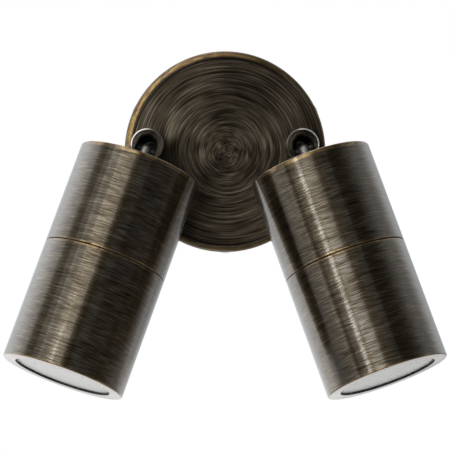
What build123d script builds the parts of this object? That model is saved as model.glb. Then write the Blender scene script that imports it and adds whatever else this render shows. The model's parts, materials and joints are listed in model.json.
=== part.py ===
from build123d import *
import os
from math import cos, radians, sin, sqrt

# Twin pivoting spotlight for a wall, in dark patinated brass.
#
# A round back plate stands on the wall at y = 0 and faces -Y. Two slotted swivel barrels turn
# in it, and a lamp head tilts on a hinge screw in each. A screwed front sleeve holds the glass.
# Millimetres, +Z up. The origin is the middle of the back plate, on the wall.

# ---------------------------------------------------------------- clearances
fit_gap = 0.05  # beside a shaft, a pin or a flat that turns or is screwed in
free_gap = 0.15  # beside a piece that only has to pass

# ---------------------------------------------------------------- back plate and wall bracket
plate_radius = 50.0
plate_depth = 20.0  # from the wall to the front face
plate_wall = 2.0
plate_face = 2.0
plate_edge_radius = 2.3
plate_inner_radius = plate_radius - plate_wall
gasket_thickness = 1.0
gasket_inset = 0.4  # how far the gasket stays back from the plate's outline

bracket_inset = 8.0  # how far the bracket stays back from the plate's outline
bracket_radius = plate_radius - bracket_inset
bracket_thickness = 1.6
tab_thickness = 1.6
tab_bend_radius = 1.2
tab_width = 10.0
tab_foot = 4.5  # how far a tab's foot reaches in over the bracket
tab_beyond_screw = 3.4
fixing_inset = 12.0  # of a wall slot's middle from the bracket's edge
fixing_spacing = 2 * (bracket_radius - fixing_inset)
fixing_slot_width = 4.5
fixing_slot_length = 10.0
fixing_drop = 9.0  # below the middle of the plate, clear of the swivel nuts and the leads
cable_hole_radius = 7.0
cable_hole_drop = 18.0  # below the middle of the plate

# ---------------------------------------------------------------- rim screws, M3 raised countersunk
rim_screw_angles = (25.5, 154.5, 270.0)
rim_screw_depth = 10.5  # from the wall
rim_shank_radius = 1.5
rim_head_radius = 2.75
rim_head_cone = 1.3
rim_head_dome = 0.7
rim_screw_length = 7.0
rim_drive_width = 0.8
rim_drive_depth = 0.6

# ---------------------------------------------------------------- terminal block and earth screw
block_width = 30.0
block_height = 18.0
block_depth = 12.0
block_rise = 25.0  # its middle, above the middle of the plate
pole_spacing = 10.0
pole_bore_radius = 2.0
pole_bore_depth = 4.0  # from the bracket's face to the bore's middle
pole_well_radius = 2.2
pole_well_spacing = 10.0
block_groove = 4.6
block_corner = 1.0
terminal_screw_radius = 1.6
terminal_screw_length = 5.0
fixing_screw_radius = 1.25
fixing_screw_head_radius = 2.2
fixing_screw_head = 1.4
earth_inset = 9.4  # from the bracket's edge
earth_angle = -47.5
earth_shank_radius = 2.0
earth_head_radius = 3.8
earth_head_height = 2.6
earth_washer_radius = 4.5
earth_washer_thickness = 0.8

# ---------------------------------------------------------------- swivel barrels
arm_inset = 12.5  # of a barrel's axis from the plate's outline
arm_spacing = 2 * (plate_radius - arm_inset)
arm_rise = 2.1  # of the barrels' axes above the middle of the plate
barrel_radius = 8.0
barrel_chamfer = 0.5
mouth_chamfer = 0.8  # round the pocket and the slot
pivot_height = 36.0  # from the plate's face to the hinge screw
pivot_offset = 2.5  # from the barrel's axis towards the head
barrel_beyond_pivot = 5.5
pocket_behind_pivot = 4.0
slot_width = 9.0
wire_bore_radius = 3.0
spigot_radius = 5.0
base_washer_radius = 7.4
base_washer_thickness = 0.5
spring_washer_radius = 7.6
spring_washer_thickness = 1.0
swivel_nut_across = 14.0
swivel_nut_height = 3.2
spigot_end_beyond_nut = 0.8

# ---------------------------------------------------------------- hinge screw and friction washers
hinge_radius = 1.25
hinge_head_radius = 2.2
hinge_head_height = 1.2
hinge_reach = 6.4  # from the middle of the stem to each flush end
hinge_drive_width = 0.6
hinge_drive_depth = 0.6
friction_washer_radius = 2.4
eye_half_width = 2.9  # across the flats beside the hinge screw
eye_length = 3.6

# ---------------------------------------------------------------- aim of the heads in the rest pose
splay = 19.7  # degrees outward from straight down
lean = 12.4  # degrees away from the wall

# ---------------------------------------------------------------- heads
head_radius = 30.0
pivot_to_head = 8.4
rear_length = 50.0
seam_gap = 0.3
sleeve_length = 59.2
rear_cap = 3.0
rear_wall = 2.5
edge_radius = 0.6
seam_edge_radius = 0.35
thread_length = 8.0
thread_pitch = 1.525
thread_depth = 0.5
thread_turns = 3
thread_land = 0.6  # between the ring's groove and the first turn
sleeve_wall = 2.0
thread_radius = head_radius - sleeve_wall
thread_wall = 2.0
thread_collar = 4.0  # inside the body, behind the thread
ring_groove_start = 1.0
ring_groove_width = 1.3
ring_section_radius = 0.55

stem_radius = 3.15
tail_radius = 2.5
tail_length = 8.6  # beyond the cap's inner face
stem_bore_radius = 1.7
stem_port_position = 5.4  # from the hinge screw to the wire port
stem_nut_across = 8.0
stem_nut_height = 4.0

# ---------------------------------------------------------------- glass
lip = 0.7
lip_width = 4.2  # inward from the thread
lip_opening_radius = thread_radius - lip_width
gasket_flange = 0.4
gasket_collar = 0.3
gasket_collar_inset = 0.1
glass_thickness = 3.0
glass_edge_gap = 0.45
retainer_thickness = 1.0
retainer_width = 2.4

# ---------------------------------------------------------------- lamp and lampholder
lamp_to_retainer = 1.5
lamp_length = 54.0
lamp_gap = 1.0  # round the lamp, inside the thread
lamp_radius = thread_radius - thread_wall - lamp_gap
lamp_rim = 4.0
lamp_neck_radius = 11.0
lamp_neck = 9.0
lamp_dome = 1.0
lamp_pin_spacing = 10.0
lamp_pin_radius = 1.6
lamp_pin_length = 7.0
lamp_pin_head_radius = 2.5
lamp_pin_head = 2.1
holder_width = 30.0
holder_thickness = 20.0
holder_height = 15.0
holder_to_lamp = 0.5
socket_depth = 9.0
holder_corner = 9.5
holder_screw_radius = 1.25
holder_screw_head_radius = 2.2
holder_screw_head = 1.3
holder_screw_length = 6.0
strip_thickness = 1.0
strip_width = 9.0
strip_span = 18.0  # between the outer faces of its legs
strip_foot = 5.5
strip_bend_radius = 0.9

# ---------------------------------------------------------------- leads
base_lead_radius = 0.9
lead_layer = 1.0  # half the step between the two sides' layers
lead_into_block = 6.0
lead_into_spigot = 5.0
bore_lead_offset = 1.1
base_lead_bend = 5.4
head_lead_radius = 0.75
head_lead_offset = 0.82
head_lead_bend = 7.5
lead_into_stem = 12.0
lead_straight = 3.0

# ---------------------------------------------------------------- places along the heads
rear_face = pivot_to_head
cap_inside = rear_face + rear_cap
seam = rear_face + rear_length
sleeve_start = seam + seam_gap
sleeve_end = sleeve_start + sleeve_length
sleeve_bore_radius = thread_radius + fit_gap
glass_front = sleeve_end - lip - gasket_flange
glass_back = glass_front - glass_thickness
lamp_front = glass_back - retainer_thickness - lamp_to_retainer
lamp_base = lamp_front - lamp_length
holder_front = lamp_base - holder_to_lamp
holder_back = holder_front - holder_height
barrel_front = pivot_height + barrel_beyond_pivot
tail_end = cap_inside + tail_length
plate_inside = plate_face  # depth of the plate's inner face behind its front face
nut_seat = plate_inside + spring_washer_thickness
spigot_end = nut_seat + swivel_nut_height + spigot_end_beyond_nut
hinge_seat = hinge_reach - hinge_head_height
holder_screw_spacing = strip_span + strip_foot

wall = Plane.XZ  # x to the right, y up, its normal towards the room


def save(piece, name):
    """Label a finished piece and write its STEP file."""
    piece.part.label = name
    export_step(piece.part, f"parts/{name}.step")


def along(plane):
    """A plane through the given plane's normal: x stays, y runs along that normal."""
    return Plane(origin=plane.origin, x_dir=plane.x_dir, z_dir=-plane.y_dir)


def axis_of(plane):
    """The given plane's normal, as an axis."""
    return Axis(plane.origin, plane.z_dir)


def rim_plane(angle):
    """A plane on the plate's outline at a rim screw, whose normal points outward."""
    outward = Vector(cos(radians(angle)), 0, sin(radians(angle)))
    middle = outward * plate_radius + Vector(0, -rim_screw_depth, 0)
    return Plane(origin=middle, x_dir=(0, -1, 0), z_dir=outward)


def swivel_plane(side):
    """The plate's face at a barrel: x along the hinge screw, -y towards the head."""
    hinge_direction = (cos(radians(splay)), 0, side * sin(radians(splay)))
    middle = (side * arm_spacing / 2, -plate_depth, arm_rise)
    return Plane(origin=middle, x_dir=hinge_direction, z_dir=(0, -1, 0))


def head_plane(side):
    """The head's frame: origin on the hinge screw, x along it, z along the head."""
    swivel = swivel_plane(side)
    pivot = swivel.from_local_coords(Vector(0, -pivot_offset, pivot_height))
    down = -swivel.y_dir
    aim = down * cos(radians(lean)) + swivel.z_dir * sin(radians(lean))
    return Plane(origin=pivot, x_dir=swivel.x_dir, z_dir=aim)


def outer_circles(part, plane):
    """The head's outermost round edges, sorted along the head."""
    circles = part.edges().filter_by(GeomType.CIRCLE)
    return circles.filter_by(lambda edge: edge.radius > head_radius - fit_gap).sort_by(axis_of(plane))


def hinge_plane(head):
    """Across the hinge screw, with its normal along the screw."""
    return Plane(origin=head.origin, x_dir=head.z_dir, z_dir=head.x_dir)


# ================================================================ fixed to the wall
def make_wall_gasket():
    with BuildPart() as wall_gasket:
        with BuildSketch(wall):
            Circle(plate_radius - gasket_inset)
            Circle(plate_inner_radius, mode=Mode.SUBTRACT)
        extrude(amount=gasket_thickness)
    save(wall_gasket, "wall_gasket")


tab_face = sqrt((plate_inner_radius - free_gap) ** 2 - (tab_width / 2) ** 2)


earth_reach = bracket_radius - earth_inset
earth_position = (earth_reach * cos(radians(earth_angle)), earth_reach * sin(radians(earth_angle)))


def make_wall_bracket():
    """A flat steel disc with the wall slots, the cable entry and the holes for its screws."""
    with BuildPart() as wall_bracket:
        with BuildSketch(wall):
            Circle(bracket_radius)
            with Locations((0, -fixing_drop)):
                with GridLocations(fixing_spacing, 0, 2, 1):
                    SlotOverall(fixing_slot_length, fixing_slot_width, mode=Mode.SUBTRACT)
            with Locations((0, -cable_hole_drop)):
                Circle(cable_hole_radius, mode=Mode.SUBTRACT)
            with Locations((0, block_rise)):
                with GridLocations(pole_spacing, 0, 2, 1):
                    Circle(fixing_screw_radius + fit_gap, mode=Mode.SUBTRACT)
            with Locations(earth_position):
                Circle(earth_shank_radius + fit_gap, mode=Mode.SUBTRACT)
        extrude(amount=bracket_thickness)
    save(wall_bracket, "wall_bracket")


def make_rim_tabs():
    """Three bent tabs, welded to the bracket's face, that take the rim screws."""
    foot_start = bracket_radius - tab_foot
    foot_top = bracket_thickness + tab_thickness
    tab_end = rim_screw_depth + tab_beyond_screw
    with BuildPart() as rim_tabs:
        for angle in rim_screw_angles:
            outward = Vector(cos(radians(angle)), 0, sin(radians(angle)))
            section = Plane(origin=(0, 0, 0), x_dir=outward, z_dir=outward.cross(Vector(0, -1, 0)))
            with BuildSketch(section):
                with BuildLine():
                    outside = FilletPolyline(
                        (foot_start, bracket_thickness),
                        (tab_face, bracket_thickness),
                        (tab_face, tab_end),
                        radius=tab_bend_radius + tab_thickness,
                    )
                    inside = FilletPolyline(
                        (foot_start, foot_top),
                        (tab_face - tab_thickness, foot_top),
                        (tab_face - tab_thickness, tab_end),
                        radius=tab_bend_radius,
                    )
                    Line(outside @ 0, inside @ 0)
                    Line(outside @ 1, inside @ 1)
                make_face()
            extrude(amount=tab_width / 2, both=True)
            with BuildSketch(rim_plane(angle)):
                Circle(rim_shank_radius + fit_gap)
            extrude(amount=-rim_screw_length - plate_wall, mode=Mode.SUBTRACT)
    save(rim_tabs, "rim_tabs")


def make_back_plate():
    """A turned brass cup with a rounded front edge."""
    height = plate_depth - gasket_thickness
    with BuildPart() as back_plate:
        with BuildSketch(wall.offset(gasket_thickness)):
            Circle(plate_radius)
        extrude(amount=height)
        fillet(back_plate.edges().sort_by(Axis.Y)[0], plate_edge_radius)
        with BuildSketch(wall.offset(gasket_thickness)):
            Circle(plate_inner_radius)
        extrude(amount=height - plate_face, mode=Mode.SUBTRACT)
        with BuildSketch(wall.offset(plate_depth)):
            with Locations((0, arm_rise)):
                with GridLocations(arm_spacing, 0, 2, 1):
                    Circle(spigot_radius + fit_gap)
        extrude(amount=-plate_face, mode=Mode.SUBTRACT)
        for angle in rim_screw_angles:
            rim = rim_plane(angle)
            with BuildSketch(along(rim)):
                with BuildLine():
                    Polyline(
                        (0, plate_wall),
                        (rim_head_radius + fit_gap, plate_wall),
                        (rim_head_radius + fit_gap, 0),
                        (rim_shank_radius + fit_gap, -rim_head_cone),
                        (rim_shank_radius + fit_gap, -2 * plate_wall),
                        (0, -2 * plate_wall),
                        close=True,
                    )
                make_face()
            revolve(axis=axis_of(rim), mode=Mode.SUBTRACT)
    save(back_plate, "back_plate")


def make_rim_screws():
    with BuildPart() as rim_screws:
        for angle in rim_screw_angles:
            rim = rim_plane(angle)
            with BuildSketch(along(rim)):
                with BuildLine():
                    Line((0, rim_head_dome), (0, -rim_screw_length))
                    Line((0, -rim_screw_length), (rim_shank_radius, -rim_screw_length))
                    Line((rim_shank_radius, -rim_screw_length), (rim_shank_radius, -rim_head_cone))
                    Line((rim_shank_radius, -rim_head_cone), (rim_head_radius, 0))
                    dome_radius = (rim_head_radius**2 + rim_head_dome**2) / (2 * rim_head_dome)
                    RadiusArc((rim_head_radius, 0), (0, rim_head_dome), -dome_radius)
                make_face()
            revolve(axis=axis_of(rim))
            with BuildSketch(rim.offset(rim_head_dome)):
                Rectangle(rim_drive_width, 2 * rim_head_radius)
            extrude(amount=-rim_drive_depth, mode=Mode.SUBTRACT)
    save(rim_screws, "rim_screws")


block_front = bracket_thickness + block_depth
pole_bore_level = bracket_thickness + pole_bore_depth
block_plane = Plane(origin=(0, 0, block_rise), x_dir=(1, 0, 0), z_dir=(0, -1, 0))


def make_terminal_block():
    """Three poles side by side, with wire bores upright and screw wells in front."""
    with BuildPart() as terminal_block:
        with BuildSketch(block_plane.offset(bracket_thickness)):
            RectangleRounded(block_width, block_height, block_corner)
        extrude(amount=block_depth)
        with BuildSketch(block_plane.offset(block_front)):
            with GridLocations(pole_spacing, 0, 2, 1):
                Rectangle(block_groove, block_height)
        extrude(amount=-block_depth / 2, mode=Mode.SUBTRACT)
        with BuildSketch(Plane.XY.offset(block_rise)):
            with Locations((0, -pole_bore_level)):
                with GridLocations(pole_spacing, 0, 3, 1):
                    Circle(pole_bore_radius)
        extrude(amount=block_height / 2, both=True, mode=Mode.SUBTRACT)
        with BuildSketch(block_plane.offset(block_front)):
            with GridLocations(pole_spacing, pole_well_spacing, 3, 2):
                Circle(pole_well_radius)
        extrude(amount=pole_bore_level - block_front, mode=Mode.SUBTRACT)
        with BuildSketch(block_plane.offset(block_front)):
            with GridLocations(pole_spacing, 0, 2, 1):
                Circle(fixing_screw_radius + fit_gap)
        extrude(amount=-block_depth, mode=Mode.SUBTRACT)
    save(terminal_block, "terminal_block")


def make_terminal_screws():
    start = pole_bore_level + pole_bore_radius + fit_gap
    with BuildPart() as terminal_screws:
        with BuildSketch(block_plane.offset(start)):
            with GridLocations(pole_spacing, pole_well_spacing, 3, 2):
                Circle(pole_well_radius - fit_gap)
        extrude(amount=terminal_screw_length)
        with BuildSketch(block_plane.offset(start + terminal_screw_length)):
            with GridLocations(pole_spacing, pole_well_spacing, 3, 2):
                Rectangle(2 * terminal_screw_radius, rim_drive_width)
        extrude(amount=-rim_drive_depth, mode=Mode.SUBTRACT)
    save(terminal_screws, "terminal_screws")


def make_block_fixings():
    """Two small screws in the block's grooves, through the block and into the bracket."""
    groove_floor = block_front - block_depth / 2
    with BuildPart() as block_fixings:
        with BuildSketch(block_plane):
            with GridLocations(pole_spacing, 0, 2, 1):
                Circle(fixing_screw_radius)
        extrude(amount=groove_floor)
        with BuildSketch(block_plane.offset(groove_floor)):
            with GridLocations(pole_spacing, 0, 2, 1):
                Circle(fixing_screw_head_radius)
        extrude(amount=fixing_screw_head)
    save(block_fixings, "block_fixings")


def make_earth_screw():
    x, z = earth_position
    earth = Plane(origin=(x, 0, z), x_dir=(1, 0, 0), z_dir=(0, -1, 0))
    washer_top = bracket_thickness + earth_washer_thickness
    with BuildPart() as earth_screw:
        with BuildSketch(earth.offset(bracket_thickness)):
            Circle(earth_washer_radius)
        extrude(amount=earth_washer_thickness)
        with BuildSketch(earth.offset(washer_top)):
            Circle(earth_head_radius)
        extrude(amount=earth_head_height)
        with BuildSketch(earth):
            Circle(earth_shank_radius)
        extrude(amount=bracket_thickness)
        with BuildSketch(earth.offset(washer_top + earth_head_height)):
            Rectangle(2 * earth_head_radius, rim_drive_width)
        extrude(amount=-rim_drive_depth, mode=Mode.SUBTRACT)
    save(earth_screw, "earth_screw")


# ================================================================ swivels
def make_base_washer(name, swivel):
    with BuildPart() as base_washer:
        with BuildSketch(swivel):
            Circle(base_washer_radius)
            Circle(spigot_radius + fit_gap, mode=Mode.SUBTRACT)
        extrude(amount=base_washer_thickness)
    save(base_washer, f"{name}_base_washer")


def make_swivel_barrel(name, swivel, hinge, side):
    """The barrel: a chamfered pocket and side slot for the stem, a hinge hole, a hollow spigot."""
    with BuildPart() as swivel_barrel:
        with BuildSketch(swivel.offset(base_washer_thickness)):
            Circle(barrel_radius)
        extrude(amount=barrel_front - base_washer_thickness)
        chamfer(swivel_barrel.edges().sort_by(Axis.Y)[0], barrel_chamfer)
        with BuildSketch(swivel.offset(base_washer_thickness)):
            Circle(spigot_radius)
        extrude(amount=-spigot_end - base_washer_thickness)
        with BuildSketch(swivel.offset(barrel_front)):
            Circle(slot_width / 2)
            with Locations((0, -barrel_radius)):
                Rectangle(slot_width, 2 * barrel_radius)
        extrude(amount=-barrel_beyond_pivot - pocket_behind_pivot, mode=Mode.SUBTRACT)
        with BuildSketch(swivel.offset(barrel_front)):
            Circle(slot_width / 2 + mouth_chamfer)
            with Locations((0, -barrel_radius)):
                Rectangle(slot_width + 2 * mouth_chamfer, 2 * barrel_radius)
        extrude(amount=-mouth_chamfer, taper=45, mode=Mode.SUBTRACT)
        with BuildSketch(swivel.offset(barrel_front)):
            Circle(wire_bore_radius)
        extrude(amount=-barrel_front - spigot_end, mode=Mode.SUBTRACT)
        with BuildSketch(hinge):
            Circle(hinge_radius + fit_gap)
        extrude(amount=barrel_radius, both=True, mode=Mode.SUBTRACT)
        with BuildSketch(hinge.offset(side * hinge_seat)):
            Circle(hinge_head_radius + fit_gap)
        extrude(amount=side * barrel_radius, mode=Mode.SUBTRACT)
    save(swivel_barrel, f"{name}_swivel_barrel")


def make_spring_washer(name, swivel):
    with BuildPart() as spring_washer:
        with BuildSketch(swivel.offset(-plate_inside)):
            Circle(spring_washer_radius)
            Circle(spigot_radius + fit_gap, mode=Mode.SUBTRACT)
        extrude(amount=-spring_washer_thickness)
    save(spring_washer, f"{name}_spring_washer")


def make_swivel_nut(name, swivel):
    with BuildPart() as swivel_nut:
        with BuildSketch(swivel.offset(-nut_seat)):
            RegularPolygon(swivel_nut_across / 2, 6, major_radius=False)
            Circle(spigot_radius + fit_gap, mode=Mode.SUBTRACT)
        extrude(amount=-swivel_nut_height)
    save(swivel_nut, f"{name}_swivel_nut")


def make_hinge_screw(name, hinge, side):
    with BuildPart() as hinge_screw:
        with BuildSketch(hinge):
            Circle(hinge_radius)
        extrude(amount=hinge_reach, both=True)
        with BuildSketch(hinge.offset(side * hinge_seat)):
            Circle(hinge_head_radius)
        extrude(amount=side * hinge_head_height)
        with BuildSketch(hinge.offset(side * hinge_reach)):
            Rectangle(2 * hinge_head_radius, hinge_drive_width)
        extrude(amount=-side * hinge_drive_depth, mode=Mode.SUBTRACT)
    save(hinge_screw, f"{name}_hinge_screw")


def make_friction_washers(name, hinge):
    inner = eye_half_width + fit_gap
    thickness = slot_width / 2 - inner - fit_gap
    with BuildPart() as friction_washers:
        for direction in (-1, 1):
            with BuildSketch(hinge.offset(direction * inner)):
                Circle(friction_washer_radius)
                Circle(hinge_radius + fit_gap, mode=Mode.SUBTRACT)
            extrude(amount=direction * thickness)
    save(friction_washers, f"{name}_friction_washers")


# ================================================================ heads
def make_stem(name, head, hinge):
    """The round stem with a domed eye, and a hollow threaded tail inside the head."""
    with BuildPart() as stem:
        with BuildSketch(along(head)):
            with BuildLine():
                Line((0, -stem_radius), (0, tail_end))
                Line((0, tail_end), (tail_radius, tail_end))
                Line((tail_radius, tail_end), (tail_radius, rear_face))
                Line((tail_radius, rear_face), (stem_radius, rear_face))
                Line((stem_radius, rear_face), (stem_radius, 0))
                RadiusArc((stem_radius, 0), (0, -stem_radius), stem_radius)
            make_face()
        revolve(axis=axis_of(head))
        with BuildSketch(head.offset(-stem_radius)):
            Rectangle(4 * stem_radius, 2 * stem_radius)
            Rectangle(2 * eye_half_width, 2 * stem_radius, mode=Mode.SUBTRACT)
        extrude(amount=stem_radius + eye_length, mode=Mode.SUBTRACT)
        with BuildSketch(hinge):
            Circle(hinge_radius + fit_gap)
        extrude(amount=stem_radius, both=True, mode=Mode.SUBTRACT)
        with BuildSketch(head.offset(tail_end)):
            Circle(stem_bore_radius)
        extrude(amount=stem_port_position - tail_end, mode=Mode.SUBTRACT)
        port = Plane(origin=head.from_local_coords(Vector(0, 0, stem_port_position)),
                     x_dir=head.x_dir, z_dir=-head.y_dir)
        with BuildSketch(port):
            Circle(stem_bore_radius)
        extrude(amount=stem_radius, mode=Mode.SUBTRACT)
    save(stem, f"{name}_stem")


def make_rear_body(name, head):
    """A turned cup: a thick cap, a thin wall, and a spigot whose thread is drawn as rings."""
    cavity_radius = head_radius - rear_wall
    spigot_bore = thread_radius - thread_wall
    groove_radius = thread_radius - 2 * ring_section_radius - fit_gap
    groove = seam + ring_groove_start
    thread_start = groove + ring_groove_width + thread_land
    turns = []
    for turn in range(thread_turns):
        start = thread_start + turn * thread_pitch
        turns += [
            (thread_radius, start),
            (thread_radius - thread_depth, start + thread_depth),
            (thread_radius, start + 2 * thread_depth),
        ]
    with BuildPart() as rear_body:
        with BuildSketch(along(head)):
            with BuildLine():
                Polyline(
                    (tail_radius + fit_gap, rear_face),
                    (head_radius, rear_face),
                    (head_radius, seam),
                    (thread_radius, seam),
                    (thread_radius, groove),
                    (groove_radius, groove),
                    (groove_radius, groove + ring_groove_width),
                    (thread_radius, groove + ring_groove_width),
                    *turns,
                    (thread_radius, seam + thread_length),
                    (spigot_bore, seam + thread_length),
                    (spigot_bore, seam - thread_collar),
                    (cavity_radius, seam - thread_collar),
                    (cavity_radius, cap_inside),
                    (tail_radius + fit_gap, cap_inside),
                    close=True,
                )
            make_face()
        revolve(axis=axis_of(head))
        fillet(outer_circles(rear_body, head)[0], edge_radius)
        fillet(outer_circles(rear_body, head)[-1], seam_edge_radius)
    save(rear_body, f"{name}_rear_body")


def make_sealing_ring(name, head):
    """The rubber ring in the groove behind the thread."""
    middle = seam + ring_groove_start + ring_groove_width / 2
    with BuildPart() as sealing_ring:
        with BuildSketch(along(head)):
            with Locations((thread_radius - ring_section_radius - fit_gap / 2, middle)):
                Circle(ring_section_radius)
        revolve(axis=axis_of(head))
    save(sealing_ring, f"{name}_sealing_ring")


def make_stem_nut(name, head):
    seat = cap_inside + strip_thickness
    with BuildPart() as stem_nut:
        with BuildSketch(head.offset(seat)):
            RegularPolygon(stem_nut_across / 2, 6, major_radius=False)
            Circle(tail_radius + fit_gap, mode=Mode.SUBTRACT)
        extrude(amount=stem_nut_height)
    save(stem_nut, f"{name}_stem_nut")


def make_holder_strip(name, head):
    """A bent steel strip: the stem's nut clamps its middle, and its feet carry the holder."""
    reach = holder_back - cap_inside
    with BuildPart() as holder_strip:
        with BuildSketch(along(head)) as profile:
            with Locations((0, cap_inside + reach / 2)):
                Rectangle(strip_span, reach)
            with Locations((0, holder_back - strip_thickness / 2)):
                Rectangle(strip_span + 2 * strip_foot, strip_thickness)
            with Locations((0, cap_inside + strip_thickness + reach / 2)):
                Rectangle(strip_span - 2 * strip_thickness, reach, mode=Mode.SUBTRACT)
            fillet(profile.vertices().group_by(Axis.Y)[0], strip_bend_radius + strip_thickness)
            fillet(profile.vertices().group_by(Axis.Y)[1], strip_bend_radius)
        extrude(amount=strip_width / 2, both=True)
        with BuildSketch(head.offset(cap_inside)):
            Circle(tail_radius + fit_gap)
        extrude(amount=strip_thickness, mode=Mode.SUBTRACT)
        with BuildSketch(head.offset(holder_back)):
            with GridLocations(holder_screw_spacing, 0, 2, 1):
                Circle(holder_screw_radius + fit_gap)
        extrude(amount=-strip_thickness, mode=Mode.SUBTRACT)
    save(holder_strip, f"{name}_holder_strip")


def make_lampholder(name, head):
    """The ceramic holder for a lamp with two twist-lock pins."""
    with BuildPart() as lampholder:
        with BuildSketch(head.offset(holder_back)):
            RectangleRounded(holder_width, holder_thickness, holder_corner)
        extrude(amount=holder_height)
        with BuildSketch(head.offset(holder_front)):
            with GridLocations(lamp_pin_spacing, 0, 2, 1):
                Circle(lamp_pin_head_radius + free_gap)
        extrude(amount=-socket_depth, mode=Mode.SUBTRACT)
        with BuildSketch(head.offset(holder_back)):
            with GridLocations(holder_screw_spacing, 0, 2, 1):
                Circle(holder_screw_radius + fit_gap)
        extrude(amount=holder_screw_length, mode=Mode.SUBTRACT)
    save(lampholder, f"{name}_lampholder")


def make_holder_screws(name, head):
    seat = holder_back - strip_thickness
    with BuildPart() as holder_screws:
        with BuildSketch(head.offset(seat)):
            with GridLocations(holder_screw_spacing, 0, 2, 1):
                Circle(holder_screw_radius)
        extrude(amount=holder_screw_length)
        with BuildSketch(head.offset(seat)):
            with GridLocations(holder_screw_spacing, 0, 2, 1):
                Circle(holder_screw_head_radius)
        extrude(amount=-holder_screw_head)
    save(holder_screws, f"{name}_holder_screws")


def make_lamp(name, head):
    """A reflector lamp: a neck with two headed pins, a flared bowl and a shallow domed front."""
    rim_start = lamp_front - lamp_rim
    with BuildPart() as lamp:
        with BuildSketch(along(head)):
            with BuildLine():
                Line((0, lamp_front), (0, lamp_base))
                Line((0, lamp_base), (lamp_neck_radius, lamp_base))
                Line((lamp_neck_radius, lamp_base), (lamp_neck_radius, lamp_base + lamp_neck))
                bowl = TangentArc(
                    (lamp_neck_radius, lamp_base + lamp_neck), (lamp_radius, rim_start), tangent=(1, 1)
                )
                Line(bowl @ 1, (lamp_radius, lamp_front - lamp_dome))
                dome_radius = (lamp_radius**2 + lamp_dome**2) / (2 * lamp_dome)
                RadiusArc((lamp_radius, lamp_front - lamp_dome), (0, lamp_front), -dome_radius)
            make_face()
        revolve(axis=axis_of(head))
        with BuildSketch(head.offset(lamp_base)):
            with GridLocations(lamp_pin_spacing, 0, 2, 1):
                Circle(lamp_pin_radius)
        extrude(amount=-lamp_pin_length)
        with BuildSketch(head.offset(lamp_base - lamp_pin_length)):
            with GridLocations(lamp_pin_spacing, 0, 2, 1):
                Circle(lamp_pin_head_radius)
        extrude(amount=lamp_pin_head)
    save(lamp, f"{name}_lamp")


def make_head_leads(name, head):
    """Two leads from the back of the holder into the hollow stem."""
    section = along(head)
    with BuildPart() as head_leads:
        for direction in (-1, 1):
            near = direction * head_lead_offset
            far = direction * lamp_pin_spacing / 2
            with BuildLine(section):
                route = FilletPolyline(
                    (near, tail_end - lead_into_stem),
                    (near, tail_end + lead_straight),
                    (far, holder_back - lead_straight),
                    (far, holder_back),
                    radius=head_lead_bend,
                )
            with BuildSketch(Plane(origin=route @ 0, z_dir=route % 0)):
                Circle(head_lead_radius)
            sweep(path=route)
    save(head_leads, f"{name}_head_leads")


# ================================================================ glass and front sleeve
glass_radius = sleeve_bore_radius - glass_edge_gap


def make_glass(name, head):
    with BuildPart() as glass:
        with BuildSketch(head.offset(glass_back)):
            Circle(glass_radius)
        extrude(amount=glass_thickness)
    save(glass, f"{name}_glass")


def make_glass_gasket(name, head):
    """A black ring in front of the glass, with a thin collar that lines the lip's opening."""
    outer = lip_opening_radius - fit_gap
    inner = outer - gasket_collar
    with BuildPart() as glass_gasket:
        with BuildSketch(head.offset(glass_front)):
            Circle(glass_radius)
            Circle(inner, mode=Mode.SUBTRACT)
        extrude(amount=gasket_flange)
        with BuildSketch(head.offset(glass_front)):
            Circle(outer)
            Circle(inner, mode=Mode.SUBTRACT)
        extrude(amount=gasket_flange + lip - gasket_collar_inset)
    save(glass_gasket, f"{name}_glass_gasket")


def make_glass_retainer(name, head):
    outer = sleeve_bore_radius - 2 * fit_gap
    with BuildPart() as glass_retainer:
        with BuildSketch(head.offset(glass_back)):
            Circle(outer)
            Circle(outer - retainer_width, mode=Mode.SUBTRACT)
        extrude(amount=-retainer_thickness)
    save(glass_retainer, f"{name}_glass_retainer")


def make_front_sleeve(name, head):
    """The tube that screws onto the rear body, with a thin lip in front of the glass."""
    with BuildPart() as front_sleeve:
        with BuildSketch(along(head)):
            with BuildLine():
                Polyline(
                    (sleeve_bore_radius, sleeve_start),
                    (head_radius, sleeve_start),
                    (head_radius, sleeve_end),
                    (lip_opening_radius, sleeve_end),
                    (lip_opening_radius, sleeve_end - lip),
                    (sleeve_bore_radius, sleeve_end - lip),
                    close=True,
                )
            make_face()
        revolve(axis=axis_of(head))
        fillet(outer_circles(front_sleeve, head)[-1], edge_radius)
        fillet(outer_circles(front_sleeve, head)[0], seam_edge_radius)
    save(front_sleeve, f"{name}_front_sleeve")


# ================================================================ leads from the terminal block
def make_base_leads(name, side):
    """Live and neutral, from their poles down and across into the barrel's hollow spigot."""
    layer = -(pole_bore_level + side * lead_layer)
    top = block_rise - block_height / 2 + lead_into_block
    spigot_mouth = plate_depth - spigot_end
    with BuildPart() as base_leads:
        for pole, height in ((-pole_spacing, -side), (0, side)):
            run = arm_rise + height * bore_lead_offset
            across = side * arm_spacing / 2
            with BuildLine():
                route = FilletPolyline(
                    (pole, layer, top),
                    (pole, layer, run),
                    (across, layer, run),
                    (across, -(spigot_mouth + lead_into_spigot), run),
                    radius=base_lead_bend,
                )
            with BuildSketch(Plane(origin=route @ 0, z_dir=route % 0)):
                Circle(base_lead_radius)
            sweep(path=route)
    save(base_leads, f"{name}_base_leads")


os.makedirs("parts", exist_ok=True)

make_wall_gasket()
make_wall_bracket()
make_rim_tabs()
make_back_plate()
make_rim_screws()
make_terminal_block()
make_terminal_screws()
make_block_fixings()
make_earth_screw()

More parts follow.
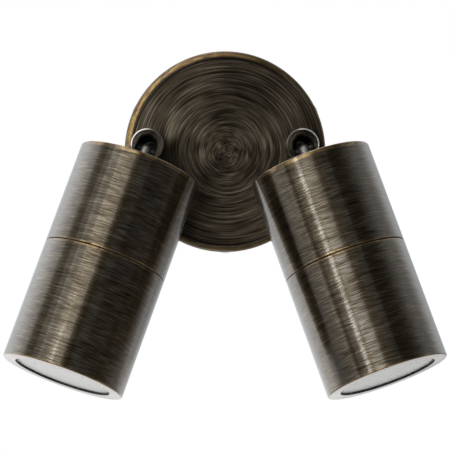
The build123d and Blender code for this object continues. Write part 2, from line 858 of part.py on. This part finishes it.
for name, side in (("left", -1), ("right", 1)):
    swivel = swivel_plane(side)
    head = head_plane(side)
    hinge = hinge_plane(head)
    make_base_washer(name, swivel)
    make_base_leads(name, side)
    make_swivel_barrel(name, swivel, hinge, side)
    make_spring_washer(name, swivel)
    make_swivel_nut(name, swivel)
    make_hinge_screw(name, hinge, side)
    make_friction_washers(name, hinge)
    make_stem(name, head, hinge)
    make_rear_body(name, head)
    make_sealing_ring(name, head)
    make_stem_nut(name, head)
    make_holder_strip(name, head)
    make_lampholder(name, head)
    make_holder_screws(name, head)
    make_lamp(name, head)
    make_head_leads(name, head)
    make_glass(name, head)
    make_glass_gasket(name, head)
    make_glass_retainer(name, head)
    make_front_sleeve(name, head)
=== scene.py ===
import json
from math import cos, pi, radians, sin, tan

import bpy
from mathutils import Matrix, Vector

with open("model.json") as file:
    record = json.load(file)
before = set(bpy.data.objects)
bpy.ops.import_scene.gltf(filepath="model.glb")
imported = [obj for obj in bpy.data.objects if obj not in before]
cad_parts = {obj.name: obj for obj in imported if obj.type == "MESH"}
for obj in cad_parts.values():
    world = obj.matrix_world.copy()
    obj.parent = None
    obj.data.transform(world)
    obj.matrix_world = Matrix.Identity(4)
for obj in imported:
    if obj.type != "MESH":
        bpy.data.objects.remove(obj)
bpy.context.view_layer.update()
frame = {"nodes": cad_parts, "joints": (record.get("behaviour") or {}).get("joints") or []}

# Twin pivoting spotlight in dark patinated brass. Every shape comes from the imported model;
# this script gives each piece its finish, and adds the camera, the light and the floor.
# Lengths are in metres, and the fitting's front faces -Y.

bpy.context.scene.view_settings.view_transform = "Standard"
MM = 0.001

# ---------------------------------------------------------------- measures of the real model
# A round edge is a place along its axis and a distance from the axis. The places of the
# plate and the barrels are taken from the wall, those of the heads from the hinge screw.
wall_axis = Vector((0.0, -1.0, 0.0))
plate_centre = (0.5 * MM, 0.0, 0.0)      # the middle of the plate's turning marks
plate_rub = (20.0 * MM, 48.9 * MM)       # the worn ring on the plate's rounded edge
# The fine dark ring drawn here is painted shade, as in a groove.
plate_line = (20.0 * MM, 46.3 * MM)      # the fine dark ring inside it
barrel_edge = (61.5 * MM, 8.0 * MM)
# The pocket and the slot within this are drawn black, as painted shade.
barrel_hollow = (60.7 * MM, 7.7 * MM)    # the pocket and the slot lie within it
rear_edge = (8.4 * MM, 30.0 * MM)
seam_edge = (58.55 * MM, 30.0 * MM)
front_edge = (117.9 * MM, 30.0 * MM)

# ---------------------------------------------------------------- colours, linear
head_tones = ((0.040, 0.029, 0.017), (0.104, 0.079, 0.044), (0.215, 0.172, 0.112))
plate_tones = ((0.021, 0.016, 0.011), (0.074, 0.059, 0.040), (0.203, 0.170, 0.121))
barrel_tones = ((0.024, 0.019, 0.012), (0.050, 0.042, 0.029), (0.115, 0.098, 0.068))
rubbed_brass = (0.410, 0.282, 0.104)
rubbed_copper = (0.260, 0.148, 0.074)
# painted shade: the dark lines drawn in the seams' gaps and the plate's groove
crease_shade = (0.010, 0.008, 0.006)
# worn bare metal on the barrels' chamfers, made near white as a painted glint
bare_metal_and_glint = (0.930, 0.890, 0.810)
# painted shade: the black drawn in the barrels' pockets and slots
pocket_shade = (0.006, 0.006, 0.006)
stem_grey = (0.440, 0.410, 0.380)
zinc = (0.60, 0.61, 0.62)
bright_steel = (0.82, 0.82, 0.81)
hinge_steel = (0.70, 0.70, 0.69)
ring_steel = (0.68, 0.68, 0.68)
screw_steel = (0.66, 0.66, 0.66)
nut_steel = (0.64, 0.64, 0.63)
strip_steel = (0.62, 0.62, 0.62)
spring_steel = (0.60, 0.60, 0.60)
terminal_brass = (0.72, 0.55, 0.28)
earth_brass = (0.74, 0.57, 0.30)
terminal_white = (0.80, 0.80, 0.77)
ceramic = (0.84, 0.82, 0.77)
lamp_white = (0.82, 0.82, 0.82)
foam_black = (0.020, 0.020, 0.020)
nylon_black = (0.03, 0.03, 0.03)
thin_nylon_black = (0.012, 0.012, 0.012)
ring_black = (0.02, 0.02, 0.02)
gasket_black = (0.015, 0.015, 0.015)
base_sleeving = (0.52, 0.40, 0.27)
head_sleeving = (0.62, 0.60, 0.54)
frost_low = (0.88, 0.86, 0.82)
frost_high = (0.92, 0.90, 0.86)
floor_grey = (0.8, 0.8, 0.8)
white = (1.0, 1.0, 1.0)
warm = (1.0, 0.95, 0.87)
close_white = (1.0, 0.99, 0.98)          # of the floor under the fitting, in reflections
daylight = (0.92, 0.955, 1.0)            # of the studio, and of the floor farther off

joints = {joint["name"]: joint for joint in frame["joints"]}


def joint_place(name):
    return Vector(joints[name]["pos_m"])


def joint_axis(name):
    return Vector(joints[name]["axis"]).normalized()


# ================================================================ node helpers
class Tree:
    """A node tree with short calls that make a node, set its inputs and return an output."""

    def __init__(self, tree):
        self.tree = tree

    def put(self, socket, value):
        """Links a socket, or sets a plain value; None leaves the socket as it is."""
        if isinstance(value, bpy.types.NodeSocket):
            self.tree.links.new(value, socket)
        elif hasattr(socket, "default_value") and value is not None:
            if isinstance(value, (tuple, list, Vector)) and len(socket.default_value) == 4:
                value = (*value, 1.0) if len(value) == 3 else value
            socket.default_value = value

    def node(self, kind, values=None, **settings):
        made = self.tree.nodes.new(kind)
        for key, value in settings.items():
            setattr(made, key, value)
        for key, value in (values or {}).items():
            self.put(made.inputs[key], value)
        return made

    def place(self):
        return self.node("ShaderNodeTexCoord").outputs["Object"]

    def math(self, operation, a, b=None, c=None):
        made = self.node("ShaderNodeMath", operation=operation)
        for socket, value in zip(made.inputs, (a, b, c)):
            self.put(socket, value)
        return made.outputs[0]

    def chain(self, operation, first, *others):
        """Joins several values by one operation, from left to right."""
        for other in others:
            first = self.math(operation, first, other)
        return first

    def inverse(self, value):
        return self.math("SUBTRACT", 1.0, value)

    def vary(self, value, middle, swing):
        """Follows value, 0 to 1, over a range as wide as swing round middle."""
        return self.math("MULTIPLY_ADD", value, swing, middle - swing / 2)

    def vector(self, operation, a, b=None, scale=None):
        made = self.node("ShaderNodeVectorMath", operation=operation)
        self.put(made.inputs[0], a)
        if b is not None:
            self.put(made.inputs[1], b)
        if scale is not None:
            self.put(made.inputs["Scale"], scale)
        return made.outputs["Value" if operation in ("DOT_PRODUCT", "LENGTH") else "Vector"]

    def flat_parts(self, vector):
        """The x and y of a vector's direction."""
        direction = self.vector("NORMALIZE", vector)
        split = self.node("ShaderNodeSeparateXYZ", {"Vector": direction})
        return split.outputs["X"], split.outputs["Y"]

    def step(self, value, low, high, first=0.0, last=1.0):
        """Goes smoothly from first, at low, to last, at high."""
        made = self.node("ShaderNodeMapRange", interpolation_type="SMOOTHSTEP")
        for key, number in zip(("Value", "From Min", "From Max", "To Min", "To Max"),
                               (value, low, high, first, last)):
            self.put(made.inputs[key], number)
        return made.outputs["Result"]

    def noise(self, vector, scale, detail=2.0, roughness=0.5):
        made = self.node("ShaderNodeTexNoise", {
            "Vector": vector, "Scale": scale, "Detail": detail, "Roughness": roughness})
        return made.outputs[0]

    def bump(self, height, distance, strength=1.0):
        made = self.node("ShaderNodeBump", {
            "Strength": strength, "Distance": distance, "Height": height})
        return made.outputs[0]

    def mix(self, factor, a, b):
        made = self.node("ShaderNodeMix", data_type="RGBA")
        self.put(made.inputs["Factor"], factor)
        self.put(made.inputs[6], a)
        self.put(made.inputs[7], b)
        return made.outputs[2]

    def shaded(self, factor, colour, share):
        """From a darker share of a colour, at 0, to the colour itself, at 1."""
        return self.mix(factor, tuple(share * part for part in colour), colour)

    def ramp(self, value, places, colours):
        """The colours at their places along value, with smooth changes between them."""
        made = self.node("ShaderNodeValToRGB", {"Fac": value})
        made.color_ramp.interpolation = "EASE"
        elements = made.color_ramp.elements
        for element in list(elements)[1:]:
            elements.remove(element)
        for index, (place, colour) in enumerate(zip(places, colours)):
            element = elements[0] if index == 0 else elements.new(place)
            element.position = place
            element.color = (*colour, 1.0)
        return made.outputs["Color"]


def material(name):
    """A new material, its tree and its shader."""
    made = bpy.data.materials.new(name)
    made.use_nodes = True
    tree = Tree(made.node_tree)
    shader = made.node_tree.nodes["Principled BSDF"]
    return made, tree, shader


def finish_shader(tree, shader, **values):
    """Sets the shader's inputs; a name has _ where the socket's has a space."""
    for key, value in values.items():
        tree.put(shader.inputs[key.replace("_", " ")], value)


# ================================================================ turned metal
tone_places = (0.05, 0.50, 0.95)         # of the dark, middle and light tones
line_height, hair_height = 0.7, 0.3      # shares of the lines and hairlines in the grooves
lacquer_groove = 0.55                    # depth of its grooves, as a share of the metal's
lacquer_roughness = 0.10
lacquer_ior = 1.75
lacquer_loss = 0.80                      # share that is gone from the dark marks


class Turned:
    """Coordinates round an axis: along it, out from it, and the turning marks' direction."""

    def __init__(self, tree, origin, axis):
        self.tree = tree
        self.axis = axis = tuple(axis)
        coordinates = tree.node("ShaderNodeTexCoord")
        place = tree.vector("SUBTRACT", coordinates.outputs["Object"], tuple(origin))
        self.along = tree.vector("DOT_PRODUCT", place, axis)
        outward = tree.vector("SUBTRACT", place, tree.vector("SCALE", axis, scale=self.along))
        self.radius = tree.vector("LENGTH", outward)
        self.direction = tree.vector("NORMALIZE", outward)
        self.profile = tree.math("SUBTRACT", self.along, self.radius)
        ring = tree.vector("CROSS_PRODUCT", axis, self.direction)
        across = tree.vector("CROSS_PRODUCT", ring, coordinates.outputs["Normal"])
        turn = tree.node("ShaderNodeVectorTransform", {"Vector": across},
                         vector_type="VECTOR", convert_from="OBJECT", convert_to="WORLD")
        self.tangent = turn.outputs[0]

    def streaks(self, arc, pitch, detail=2.0, roughness=0.5):
        """Noise drawn out round the axis: arc sets the marks per turn, pitch their spacing."""
        tree = self.tree
        place = tree.vector("SCALE", self.direction, scale=arc)
        rise = tree.vector("SCALE", self.axis, scale=tree.math("DIVIDE", self.profile, pitch))
        return tree.noise(tree.vector("ADD", place, rise), 1.0, detail, roughness)

    def edge(self, edge, near, far, ragged):
        """1 at a round edge, falling to 0 between two distances from it, in millimetres.

        The line where it falls wanders by as much as ragged."""
        tree = self.tree
        along = tree.math("SUBTRACT", self.along, edge[0])
        outward = tree.math("SUBTRACT", self.radius, edge[1])
        distance = tree.math("SQRT", tree.math("ADD", tree.math("MULTIPLY", along, along),
                                               tree.math("MULTIPLY", outward, outward)))
        wander = self.streaks(arc=2.5, pitch=0.9 * MM, detail=3.0)
        distance = tree.math("ADD", distance, tree.math("MULTIPLY", wander, ragged * MM))
        shift = ragged / 2
        return tree.step(distance, (near + shift) * MM, (far + shift) * MM, 1.0, 0.0)

    def worn_brass(self, mask):
        """Brass with copper patches for a rubbed edge, and the mask with gaps in it."""
        tree = self.tree
        patches = self.streaks(arc=8.0, pitch=1.6 * MM, detail=3.0, roughness=0.6)
        metal = tree.mix(tree.step(patches, 0.42, 0.58), rubbed_copper, rubbed_brass)
        worn = self.streaks(arc=7.0, pitch=2.6 * MM, detail=3.0, roughness=0.6)
        worn = tree.step(worn, 0.34, 0.54, 0.25, 1.0)
        return metal, tree.math("MULTIPLY", mask, worn)


def turned_metal(name, origin, axis, rubbed=(), rub_colour=rubbed_brass, shaded_lines=(),
                 tones=head_tones, gain=2.7, pitches=(3.0, 0.54, 0.36), arcs=(1.2, 3.4, 6.0),
                 shares=(0.12, 0.45, 0.33), groove=0.10, coat=1.0, roughness=0.34,
                 inside=None, lit_side=((0.0, -1.0, 0.0), 0.40, 0.80, 0.15), light_lobes=(),
                 brushed=0.85):
    """Dark patinated metal with turning marks, as broad bands, lines and hairlines.

    arcs, pitches and shares give each set's marks per turn, spacing in millimetres and share
    of the tone, which gain spreads over the dark, middle and light tones. groove is the marks'
    depth in millimetres. rubbed lists the edges where the metal shows, and dirty those where a
    fine dark line of painted shade is drawn, as in a groove or a seam. handled is the side
    where the light falls, where the rub shows most as a painted highlight on real wear: where
    that starts and is full, and the least of it elsewhere. lobes are sides where the tone is
    painted lighter or darker as light and shade, from where and by how much. inside is the
    depth and radius of a hollow drawn black as painted shade, with no lacquer."""
    made, tree, shader = material(name)
    turned = Turned(tree, origin, axis)
    marks = [turned.streaks(arc, pitch * MM, detail=0.7) for arc, pitch in zip(arcs, pitches)]
    lines, hair = marks[1:]

    mottle = tree.noise(tree.place(), scale=55.0, detail=3.0, roughness=0.6)
    tone = tree.math("MULTIPLY", mottle, 1.0 - sum(shares))
    for mark, share in zip(marks, shares):
        tone = tree.math("MULTIPLY_ADD", mark, share, tone)
    tone = tree.vary(tone, middle=0.5, swing=gain)
    # Painted light and shade: the tone is raised or lowered on the sides given.
    for toward, low, change in light_lobes:
        nearness = tree.vector("DOT_PRODUCT", turned.direction, toward)
        tone = tree.math("ADD", tone, tree.step(nearness, low, 1.0, 0.0, change))
    colour = tree.ramp(tone, tone_places, tones)

    # The rub is painted brightest on the side where the light falls: real wear, with a painted
    # highlight.
    toward, low, high, least = lit_side
    lit_share = tree.vector("DOT_PRODUCT", turned.direction, toward)
    lit_share = tree.step(lit_share, low, high, least, 1.0)
    for edge in rubbed:
        mask = tree.math("MULTIPLY", turned.edge(*edge), lit_share)
        metal = rub_colour
        if rub_colour == rubbed_brass:
            metal, mask = turned.worn_brass(mask)
        colour = tree.mix(mask, colour, metal)
    # Fine dark lines of painted shade, as in a groove or a seam's gap.
    for edge in shaded_lines:
        colour = tree.mix(turned.edge(*edge), colour, crease_shade)
    # Painted shade: the hollow is drawn black and its lacquer left off.
    if inside is not None:
        depth, radius = inside
        hollow = tree.math("MULTIPLY", tree.math("LESS_THAN", turned.along, depth),
                           tree.math("LESS_THAN", turned.radius, radius))
        colour = tree.mix(hollow, colour, pocket_shade)
        coat = tree.math("MULTIPLY", tree.inverse(hollow), coat)

    height = tree.math("ADD", tree.math("MULTIPLY", lines, line_height),
                       tree.math("MULTIPLY", hair, hair_height))
    # The lacquer is thin in the dark marks, apart from where its gloss is seen at a slant.
    facing = tree.node("ShaderNodeLayerWeight", {"Blend": 0.5}).outputs["Facing"]
    thin = tree.math("MULTIPLY", tree.step(tone, 0.25, 0.75, lacquer_loss, 0.0),
                     tree.step(facing, 0.06, 0.32, 1.0, 0.0))
    finish_shader(tree, shader, Base_Color=colour, Metallic=1.0,
                  Roughness=tree.vary(lines, roughness, swing=0.16), Anisotropic=brushed,
                  Tangent=turned.tangent, Normal=tree.bump(height, groove * MM),
                  Coat_Weight=tree.math("MULTIPLY", tree.inverse(thin), coat),
                  Coat_Roughness=lacquer_roughness, Coat_IOR=lacquer_ior,
                  Coat_Normal=tree.bump(height, lacquer_groove * groove * MM))
    return made


# ================================================================ other finishes
def plain_metal(name, colour, roughness=0.3, grain=900.0):
    """Machined metal with a fine cloudy grain."""
    made, tree, shader = material(name)
    cloud = tree.noise(tree.place(), grain, detail=3.0)
    finish_shader(tree, shader, Metallic=1.0,
                  Base_Color=tree.shaded(tree.step(cloud, 0.3, 0.7), colour, share=0.72),
                  Roughness=tree.vary(cloud, roughness, swing=0.16),
                  Normal=tree.bump(cloud, distance=0.02 * MM, strength=0.15))
    return made


def moulded(name, colour, roughness=0.5, grain=1400.0, coat=0.0):
    """Moulded or fired material: a fine grain over slow tone changes."""
    made, tree, shader = material(name)
    place = tree.place()
    cloud = tree.noise(place, scale=120.0, detail=4.0, roughness=0.6)
    grains = tree.noise(place, grain)
    finish_shader(tree, shader, Coat_Weight=coat,
                  Base_Color=tree.shaded(tree.step(cloud, 0.3, 0.7), colour, share=0.82),
                  Roughness=tree.vary(grains, roughness, swing=0.14),
                  Normal=tree.bump(grains, distance=0.03 * MM, strength=0.3))
    return made


def frosted_glass(name):
    """Pale glass, frosted so finely that little shows through it."""
    made, tree, shader = material(name)
    place = tree.place()
    grains = tree.noise(place, scale=2600.0)
    cloud = tree.noise(place, scale=40.0, detail=3.0)
    finish_shader(tree, shader, Base_Color=tree.mix(cloud, frost_low, frost_high),
                  Roughness=0.32, Transmission_Weight=0.12, IOR=1.5,
                  Normal=tree.bump(grains, distance=0.01 * MM, strength=0.2))
    return made


def braided(name, colour):
    """Woven sleeving, as fine slanted bands."""
    made, tree, shader = material(name)
    bands = tree.node("ShaderNodeTexWave",
                      {"Vector": tree.place(), "Scale": 700.0, "Distortion": 1.5},
                      wave_type="BANDS", bands_direction="DIAGONAL")
    weave = bands.outputs["Fac"]
    finish_shader(tree, shader, Roughness=0.75,
                  Base_Color=tree.shaded(weave, colour, share=0.6),
                  Normal=tree.bump(weave, distance=0.05 * MM, strength=0.5))
    return made


# ================================================================ finishes of each node
# A rubbed edge, or a dark line of painted shade, is followed by the distances where it starts
# to fade and ends, and by how far it wanders, all in millimetres.
# The seam has real wear on its edges and a dark line of painted shade in its gap.
seam_rub = (seam_edge, 0.75, 1.3, 0.6)
seam_shade = (seam_edge, 0.28, 0.45, 0.1)
finishes = {
    # The plate's tone is painted lighter and darker by side, as light and shade; its rim rub
    # shows most to the upper left, where the light falls, as a painted highlight; and a fine
    # dark ring of painted shade is drawn inside the rim.
    "back_plate": turned_metal(
        "plate_brass", plate_centre, wall_axis, [(plate_rub, 0.9, 1.9, 0.8)],
        shaded_lines=[(plate_line, 0.15, 0.42, 0.2)], tones=plate_tones, gain=3.7,
        pitches=(3.6, 0.80, 0.50), arcs=(1.1, 1.4, 2.4), shares=(0.13, 0.32, 0.36),
        groove=0.05, coat=0.25, roughness=0.38, brushed=0.70,
        lit_side=((-0.7, 0.0, 0.7), -0.20, 0.70, 0.34),
        light_lobes=[((0.97, 0.0, -0.24), 0.65, -0.26), ((-0.87, 0.0, 0.50), 0.80, -0.06),
               ((0.0, 0.0, 1.0), 0.80, -0.10), ((0.77, 0.0, 0.64), 0.78, 0.08)]),
    "wall_gasket": moulded("foam_black", foam_black, 0.9),
    "wall_bracket": plain_metal("zinc_plate", zinc, 0.38, 700.0),
    "rim_tabs": plain_metal("zinc_tabs", zinc, 0.38, 700.0),
    "rim_screws": plain_metal("bright_steel", bright_steel, 0.22),
    "terminal_block": moulded("terminal_white", terminal_white, 0.4),
    "terminal_screws": plain_metal("terminal_brass", terminal_brass),
    "block_fixings": plain_metal("small_steel", screw_steel),
    "earth_screw": plain_metal("earth_brass", earth_brass, 0.28),
}
for name, side in (("left", -1.0), ("right", 1.0)):
    base = joint_place(f"{name}_swivel_turn")
    pin = joint_place(f"{name}_tilt")
    aim = joint_axis(f"{name}_sleeve_turn")
    finishes.update({
        f"{name}_base_washer": moulded(f"{name}_nylon_washer", nylon_black),
        f"{name}_base_leads": braided(f"{name}_base_sleeving", base_sleeving),
        # The barrel's chamfer is worn bare metal, painted bright toward the lit side as a
        # glint, and its pocket and slot are drawn black as painted shade.
        f"{name}_swivel_barrel": turned_metal(
            f"{name}_barrel_brass", (base.x, 0.0, base.z), wall_axis,
            [(barrel_edge, 0.55, 0.72, 0.1)], bare_metal_and_glint, tones=barrel_tones, gain=1.8,
            pitches=(1.8, 0.6, 0.3), arcs=(1.0, 2.0, 4.0), coat=0.4, inside=barrel_hollow,
            lit_side=((0.87 * side, 0.0, 0.50), 0.05, 0.60, 0.10)),
        f"{name}_spring_washer": plain_metal(f"{name}_spring_steel", spring_steel),
        f"{name}_swivel_nut": plain_metal(f"{name}_nut_steel", nut_steel, 0.32),
        f"{name}_hinge_screw": plain_metal(f"{name}_hinge_steel", hinge_steel, 0.28),
        f"{name}_friction_washers": moulded(f"{name}_nylon_thin", thin_nylon_black),
        f"{name}_stem": plain_metal(f"{name}_stem_metal", stem_grey, 0.52, 1500.0),
        # Rubbed edges at the rear and the seam, shown most on the front where the light falls,
        # as a painted highlight on real wear, and a dark line of painted shade at the seam.
        f"{name}_rear_body": turned_metal(
            f"{name}_rear_brass", pin, aim, [(rear_edge, 1.5, 2.4, 1.3), seam_rub],
            shaded_lines=[seam_shade]),
        f"{name}_sealing_ring": moulded(f"{name}_ring_rubber", ring_black, 0.6),
        f"{name}_stem_nut": plain_metal(f"{name}_stem_nut_steel", nut_steel, 0.32),
        f"{name}_holder_strip": plain_metal(f"{name}_strip_steel", strip_steel, 0.35),
        f"{name}_lampholder": moulded(f"{name}_ceramic", ceramic, 0.35, 500.0),
        f"{name}_holder_screws": plain_metal(f"{name}_holder_steel", screw_steel),
        f"{name}_lamp": moulded(f"{name}_lamp_body", lamp_white, 0.25, 300.0, coat=0.5),
        f"{name}_head_leads": braided(f"{name}_head_sleeving", head_sleeving),
        f"{name}_glass": frosted_glass(f"{name}_frosted"),
        f"{name}_glass_gasket": moulded(f"{name}_gasket_rubber", gasket_black),
        f"{name}_glass_retainer": plain_metal(f"{name}_retainer_steel", ring_steel),
        # Rubbed edges at the seam and the front rim, shown most on the front where the light
        # falls, as a painted highlight on real wear, and a dark line of painted shade at the
        # seam.
        f"{name}_front_sleeve": turned_metal(
            f"{name}_front_brass", pin, aim, [seam_rub, (front_edge, 0.5, 1.0, 0.5)],
            shaded_lines=[seam_shade]),
    })
for node, finish in finishes.items():
    slots = frame["nodes"][node].data.materials
    if slots:
        slots[0] = finish
    else:
        slots.append(finish)

# ================================================================ camera
camera_data = bpy.data.cameras.new("camera")
camera_data.sensor_width = 36.0          # this and the lens in millimetres
camera_data.lens = 214.5
camera_distance, camera_height = 1.353, -0.0365
camera = bpy.data.objects.new("camera", camera_data)
camera.location = (0.0, -camera_distance, camera_height)
camera.rotation_euler = (radians(90.0), 0.0, 0.0)
bpy.context.scene.collection.objects.link(camera)
bpy.context.scene.camera = camera

# ================================================================ studio and floor
front_tone = 0.030                       # brightness of the studio's dark front
head_depth = 0.05                        # how far in front of the wall the heads stand


def surroundings(tree, direction):
    """The studio's brightness in a direction: dark in front, a white wall behind and beside."""
    x, y = tree.flat_parts(direction)
    left = tree.chain("ADD", tree.step(y, -0.16, 0.05, front_tone, 1.08),
                      tree.step(y, 0.05, 0.40, 0.0, 0.50),
                      tree.step(y, 0.55, 0.94, 0.0, -0.72))
    right = tree.chain("ADD", tree.step(y, -0.55, 0.15, front_tone, 0.44),
                       tree.step(y, 0.25, 0.70, 0.0, 0.38),
                       tree.step(y, 0.72, 0.94, 0.0, -0.28))
    side = tree.step(x, -0.25, 0.25)
    return tree.math("ADD", tree.math("MULTIPLY", left, tree.inverse(side)),
                     tree.math("MULTIPLY", right, side))


def floor_tone(tree, around, distance):
    """The floor's brightness in metal and glass: the studio's own, toned by distance and side.

    It is also lit close under the fitting, to its left front, and close behind it."""
    x, y = tree.flat_parts(around)
    close = tree.step(y, 0.50, 0.80, 0.83, 1.18)
    far = tree.step(y, 0.70, 0.95, 0.77, 1.06)
    both_sides = tree.step(distance, 0.40, 0.80, close, far)
    close = tree.math("MULTIPLY", tree.step(y, 0.0, 0.45, 0.32, 1.0),
                      tree.step(y, 0.50, 0.68, 1.13, 0.50))
    far = tree.step(y, 0.0, 0.45, 0.28, 0.46)
    right_side = tree.step(x, 0.30, 0.80, 1.0, tree.step(distance, 0.40, 0.80, close, far))
    from_heads = tree.vector("ADD", around, (0.0, head_depth, 0.0))
    beyond = tree.chain("MULTIPLY", surroundings(tree, from_heads), both_sides, right_side)
    under = tree.step(distance, 0.15, 0.60, 0.40, 0.0)
    left_front = tree.math("MULTIPLY", tree.step(y, -0.85, -0.50, 0.0, 0.36),
                           tree.step(x, -0.50, -0.25, 1.0, 0.0))
    behind = tree.chain("MULTIPLY", tree.step(y, 0.35, 0.70), tree.step(x, -0.45, -0.10),
                        tree.step(distance, 0.24, 0.36, 1.0, 0.0))
    return tree.chain("MAXIMUM", beyond, under, left_front, behind)


def floor_finish(name):
    """A pale floor: white to the camera, toned in metal and glass, and clear from below."""
    made, tree, shader = material(name)
    finish_shader(tree, shader, Base_Color=floor_grey, Roughness=0.9)
    path = tree.node("ShaderNodeLightPath")
    seen = path.outputs["Is Camera Ray"]
    around = tree.vector("MULTIPLY", tree.place(), (1.0, 1.0, 0.0))
    distance = tree.vector("LENGTH", around)
    brightness = tree.math("MAXIMUM", floor_tone(tree, around, distance), seen)
    tint = tree.mix(tree.step(distance, 0.24, 0.50), close_white, daylight)
    glow = tree.node("ShaderNodeEmission", {
        "Color": tree.mix(seen, tint, white), "Strength": brightness})
    glowing = tree.chain("MAXIMUM", seen, path.outputs["Is Glossy Ray"],
                         path.outputs["Is Transmission Ray"])
    above = tree.node("ShaderNodeMixShader", {
        0: glowing, 1: shader.outputs[0], 2: glow.outputs[0]})
    below = tree.node("ShaderNodeBsdfTransparent")
    both = tree.node("ShaderNodeMixShader", {
        0: tree.node("ShaderNodeNewGeometry").outputs["Backfacing"],
        1: above.outputs[0], 2: below.outputs[0]})
    tree.put(made.node_tree.nodes["Material Output"].inputs["Surface"], both.outputs[0])
    return made


floor_reach, floor_level = 6.0, -0.2
floor_mesh = bpy.data.meshes.new("floor")
corners = [(x * floor_reach, y * floor_reach, floor_level)
           for x, y in ((-1, -1), (1, -1), (1, 1), (-1, 1))]
floor_mesh.from_pydata(corners, [], [(0, 1, 2, 3)])
floor_mesh.materials.append(floor_finish("pale_floor"))
floor = bpy.data.objects.new("floor", floor_mesh)
bpy.context.scene.collection.objects.link(floor)

# ================================================================ light
world = bpy.data.worlds.new("studio")
bpy.context.scene.world = world
world.use_nodes = True
tree = Tree(world.node_tree)
background = world.node_tree.nodes["Background"]
seen = tree.node("ShaderNodeLightPath").outputs["Is Camera Ray"]
studio = surroundings(tree, tree.node("ShaderNodeTexCoord").outputs["Generated"])
tree.put(background.inputs["Color"], tree.mix(seen, daylight, white))
tree.put(background.inputs["Strength"], tree.math("MAXIMUM", studio, seen))


def softbox(name, azimuth, low, high, width, distance, radiance, colour=white):
    """A panel that faces the fitting and reaches from the elevation low to high.

    Angles are in degrees: azimuth 0 is towards the camera, and it grows to the right.
    radiance is the panel's own brightness, whatever its size and distance."""
    turn, rise = radians(azimuth), radians((low + high) / 2)
    outward = Vector((sin(turn) * cos(rise), -cos(turn) * cos(rise), sin(rise)))
    data = bpy.data.lights.new(name, "AREA")
    data.shape = "RECTANGLE"
    data.color = colour
    data.size = 2 * distance * tan(radians(width / 2))
    data.size_y = 2 * distance * tan(radians((high - low) / 2))
    data.energy = radiance * pi * data.size * data.size_y
    panel = bpy.data.objects.new(name, data)
    panel.location = outward * distance
    panel.rotation_mode = "QUATERNION"
    panel.rotation_quaternion = outward.to_track_quat("Z", "Y")
    panel.visible_camera = False
    bpy.context.scene.collection.objects.link(panel)


# Azimuth, lowest and highest elevation and width in degrees, distance in metres, radiance,
# and the colour where it isn't white.
panels = {
    "main_low": (-13.6, -5.0, 18.0, 19.4, 6.0, 2.18),
    "main_low_left": (-30.0, -5.0, 18.0, 13.0, 2.5, 0.55),
    "main_high": (-17.0, 18.0, 65.0, 27.0, 6.0, 1.22),
    "upper_panel": (-39.0, 18.0, 60.0, 20.0, 2.5, 1.00),
    "bright_strip": (-25.2, -5.0, 18.0, 5.8, 0.8, 5.2),
    "left_edge": (-41.0, -10.0, 16.0, 8.0, 2.5, 0.66, warm),
    "left_low_edge": (-54.0, -20.0, 14.0, 7.0, 2.5, 0.52, warm),
    "left_low": (-67.0, -20.0, 14.0, 27.0, 2.5, 0.82, warm),
    "left_high": (-55.0, 14.0, 60.0, 15.0, 2.5, 0.46),
    "left_high_far": (-71.0, 14.0, 60.0, 17.0, 2.5, 0.13),
    "right_dim": (18.0, -10.0, 40.0, 18.0, 2.5, 0.18),
    "right_low": (45.0, -15.0, 16.0, 34.0, 2.5, 0.10),
    "right_high": (45.0, 50.0, 75.0, 40.0, 2.5, 0.12),
}
for name, panel in panels.items():
    softbox(name, *panel)
